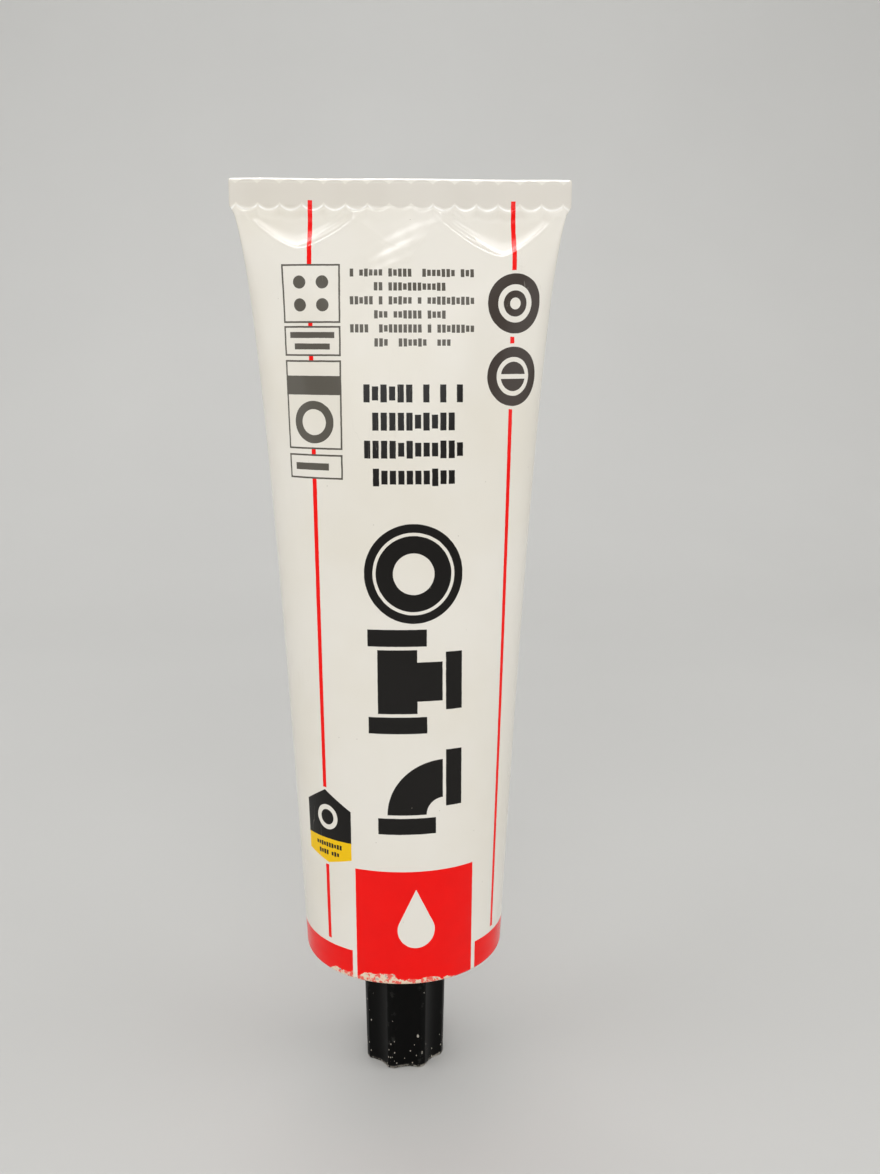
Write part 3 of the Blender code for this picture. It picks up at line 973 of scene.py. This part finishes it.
def make_cap(plastic):
    """Fluted cap: the profile's rows are swept round and pressed in between the ridges."""
    profile = cap_profile()
    start = bpy.data.meshes.new("cap_profile")
    start.from_pydata([(r * MM, 0.0, z * MM) for r, z, _ in profile], [], [])
    fluted = start.attributes.new("fluted", "FLOAT", "POINT")
    fluted.data.foreach_set("value", [f for _, _, f in profile])

    jig = Jig("fluted_cap", {
        "Sides": FLUTE_COUNT * FLUTE_STEPS,
        "Rows": len(profile),
        "Flute Count": float(FLUTE_COUNT),
        "Flute Depth": FLUTE_DEPTH * MM,
        "Ridge Angle": math.radians(FLUTE_RIDGE_DEG),
        "First Ridge": math.radians(FIRST_RIDGE_DEG - 90.0),
    })
    bench = jig.bench
    grid = bench.node("GeometryNodeMeshGrid", None,
                      {0: 1.0, 1: 1.0, 2: jig.size("Sides") + 1, 3: jig.size("Rows")})
    across, up, _ = bench.parts(bench.node("GeometryNodeInputPosition"))
    row = bench.math("ROUND", (up + 0.5) * (jig.size("Rows") - 1))
    source = jig.size("Geometry")
    place = bench.node("GeometryNodeSampleIndex", {"data_type": "FLOAT_VECTOR"},
                       {0: source, 1: bench.node("GeometryNodeInputPosition"), 2: row})
    amount = bench.node("GeometryNodeInputNamedAttribute", {"data_type": "FLOAT"}, {0: "fluted"})
    amount = bench.node("GeometryNodeSampleIndex", {"data_type": "FLOAT"}, {0: source, 1: amount, 2: row})
    radius, _, height = bench.parts(place)

    angle = (across + 0.5) * (2 * math.pi) + jig.size("First Ridge")
    step = 2 * math.pi / jig.size("Flute Count")
    from_middle = bench.math("FLOORED_MODULO", angle - jig.size("First Ridge"), step) - step / 2
    share = from_middle / ((step - jig.size("Ridge Angle")) / 2)
    cut = bench.math("MAXIMUM", 1 - share * share, 0.0)
    radius = radius - amount * cut * jig.size("Flute Depth")
    point = bench.join(radius * bench.math("COSINE", angle), radius * bench.math("SINE", angle), height)
    skin = bench.node("GeometryNodeSetPosition", None, {0: grid, "Position": point})
    skin = bench.node("GeometryNodeMergeByDistance", None, {0: skin, "Distance": 1e-6})
    jig.deliver(skin, plastic)
    mesh = jig.run(start)
    mesh.set_sharp_from_angle(angle=math.radians(CAP_SHARP_DEG))
    add_piece("fluted_cap", mesh, "cap", "black_plastic", "screw_cap")


def make_thread(name, body, slot, material, radius, base, turns):
    """Right-hand thread bead that fades out at both ends."""
    jig = Jig(name, {
        "Turns": turns,
        "Pitch": THREAD_PITCH * MM,
        "Radius": radius * MM,
        "Bead": THREAD_BEAD * MM,
        "Base": base * MM,
    })
    bench = jig.bench
    values = {"Resolution": 72, "Rotations": jig.size("Turns"), "Start Radius": jig.size("Radius"),
              "End Radius": jig.size("Radius"), "Height": jig.size("Turns") * jig.size("Pitch"),
              "Reverse": True}
    path = bench.node("GeometryNodeCurveSpiral", None, values)
    along = bench.node("GeometryNodeSplineParameter")
    fade = bench.soft(0.5 - abs(along - 0.5), 0.0, 0.07, 0.08, 1.0)
    bead_ring = bench.node("GeometryNodeCurvePrimitiveCircle", None,
                           {"Resolution": 12, "Radius": jig.size("Bead")})
    thread = bench.node("GeometryNodeCurveToMesh", None,
                        {0: path, 1: bead_ring, "Scale": fade, "Fill Caps": True})
    shift = bench.join(0.0, 0.0, jig.size("Base"))
    thread = bench.node("GeometryNodeTransform", None, {0: thread, 1: shift})
    jig.deliver(thread, material)
    add_piece(name, jig.run(bpy.data.meshes.new(name + "_start")), body, slot)


# Stage, in metres
def make_stage():
    """Pale floor that sweeps up behind the tube."""
    bend_start = 0.35
    bend_radius = 0.4
    half_width = 1.6
    profile = [(-1.4, 0.0), (bend_start, 0.0)]
    for i in range(1, 13):
        angle = math.radians(90.0 * i / 12)
        rise = bend_radius - bend_radius * math.cos(angle)
        profile.append((bend_start + bend_radius * math.sin(angle), rise))
    profile.append((bend_start + bend_radius, 1.6))
    points = [(x, y, z) for y, z in profile for x in (-half_width, half_width)]
    faces = [(2 * i, 2 * i + 1, 2 * i + 3, 2 * i + 2) for i in range(len(profile) - 1)]
    mesh = bpy.data.meshes.new("studio_floor")
    mesh.from_pydata(points, [], faces)
    mesh.shade_smooth()
    material, bench, shader, place = new_finish("floor_paper")
    bench.feed(shader.inputs["Base Color"], bench.blend(bench.noise(place, 9.0), *FLOOR_PAPER))
    bench.feed(shader.inputs["Roughness"], 0.75 + bench.noise(place, 900.0) * 0.15)
    shader.inputs["Specular IOR Level"].default_value = 0.1
    mesh.materials.append(material)
    floor = add_to_scene("studio_floor", mesh)


def add_softbox(name, place, aim, size, watts):
    """Area lamp turned towards a point."""
    lamp = bpy.data.lights.new(name, "AREA")
    lamp.shape = "RECTANGLE"
    lamp.size, lamp.size_y = size
    lamp.energy = watts
    holder = add_to_scene(name, lamp)
    holder.location = place
    aim_line = Vector(aim) - Vector(place)
    holder.rotation_euler = aim_line.to_track_quat("-Z", "Y").to_euler()
    return holder


def light_stage():
    """Soft panels round the tube and an even, slightly warm air."""
    # Name, how far back, depth, watts: these show only as gloss on the lacquer
    gloss_panels = (
        ("gloss_panel_front", 0.01, 0.20, 2.2),
        ("gloss_panel_rear", 0.24, 0.26, 8.0),
    )
    for name, back, depth, watts in gloss_panels:
        panel = add_softbox(name, (0.0, back, 0.80), (0.0, back, 0.16), (0.60, depth), watts)
        panel.visible_diffuse = False
    add_softbox("front_panel", (0.0, -0.85, 0.48), (0.0, 0.0, 0.09), (0.90, 0.50), 3.1)
    add_softbox("back_panel", (-0.10, 0.58, 0.72), (0.0, 0.0, 0.10), (0.70, 0.30), 1.4)
    for name, side in (("left_fill", -0.75), ("right_fill", 0.75)):
        add_softbox(name, (side, -0.25, 0.42), (0.0, 0.0, 0.09), (0.70, 0.70), 1.85)
    world = bpy.data.worlds.new("studio_air")
    world.use_nodes = True
    bench = Bench(world.node_tree)
    background = world.node_tree.nodes["Background"]
    _, _, up = bench.parts(bench.node("ShaderNodeTexCoord", None, None, "Generated"))
    bench.feed(background.inputs["Strength"], bench.soft(up, -0.05, 0.85, 0.40, 0.57))
    background.inputs["Color"].default_value = (1.0, 0.985, 0.965, 1.0)
    bpy.context.scene.world = world


def place_camera():
    """Camera of the photograph: close, a little above the tube's middle, looking down."""
    focal_pixels = 1150.0
    picture_height = 1174.0
    pitch, yaw, roll = math.radians(12.0), math.radians(1.9), math.radians(0.147)
    camera = bpy.data.cameras.new("camera")
    camera.sensor_width = 36.0
    camera.lens = camera.sensor_width * focal_pixels / picture_height
    camera.clip_start = 0.01
    holder = add_to_scene("camera", camera)
    flat = math.cos(pitch)
    forward = Vector((math.sin(yaw) * flat, math.cos(yaw) * flat, -math.sin(pitch)))
    turn = forward.to_track_quat("-Z", "Y").to_matrix() @ Matrix.Rotation(roll, 3, "Z")
    holder.matrix_world = Matrix.Translation((0.0, -0.2091, 0.1397)) @ turn.to_4x4()
    bpy.context.scene.camera = holder


def dress_inner_pieces():
    """Wad, sealing compound and glue keep their solids and get their own finishes."""
    # Node, finish, first shade, second shade, noise scale, roughness from and to, bumps, clearness
    finishes = (
        ("cap_liner", "pressed_wad", (226, 220, 206), (205, 197, 180), 700.0, 0.6, 0.8, 0.4, 0.0),
        ("end_seal", "dried_latex", (206, 190, 158), (186, 166, 130), 420.0, 0.45, 0.65, 0.3, 0.0),
        ("glue_gel", "amber_gel", (222, 210, 178), (208, 192, 152), 60.0, 0.08, 0.2, 0.05, 0.5),
    )
    for node, name, first, second, scale, low, high, bumps, clearness in finishes:
        material, shader = mottled_finish(name, srgb(*first), srgb(*second), scale, low, high, bumps)
        shader.inputs["Transmission Weight"].default_value = clearness
        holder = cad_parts[node]
        holder.data.materials.clear()
        holder.data.materials.append(material)


bpy.context.scene.view_settings.view_transform = "Standard"
lacquer = lacquer_finish()
metal = metal_finish()
plastic = cap_finish()
make_shell(lacquer, metal)
make_cap(plastic)
make_thread("neck_thread", "tube", "white_lacquer", metal, NECK_CORE, NECK_END + 0.9, 3.4)
make_thread("cap_thread", "cap", "black_plastic", plastic, CAP_BORE, NECK_END + 1.9, 3.0)
dress_inner_pieces()
make_stage()
light_stage()
place_camera()
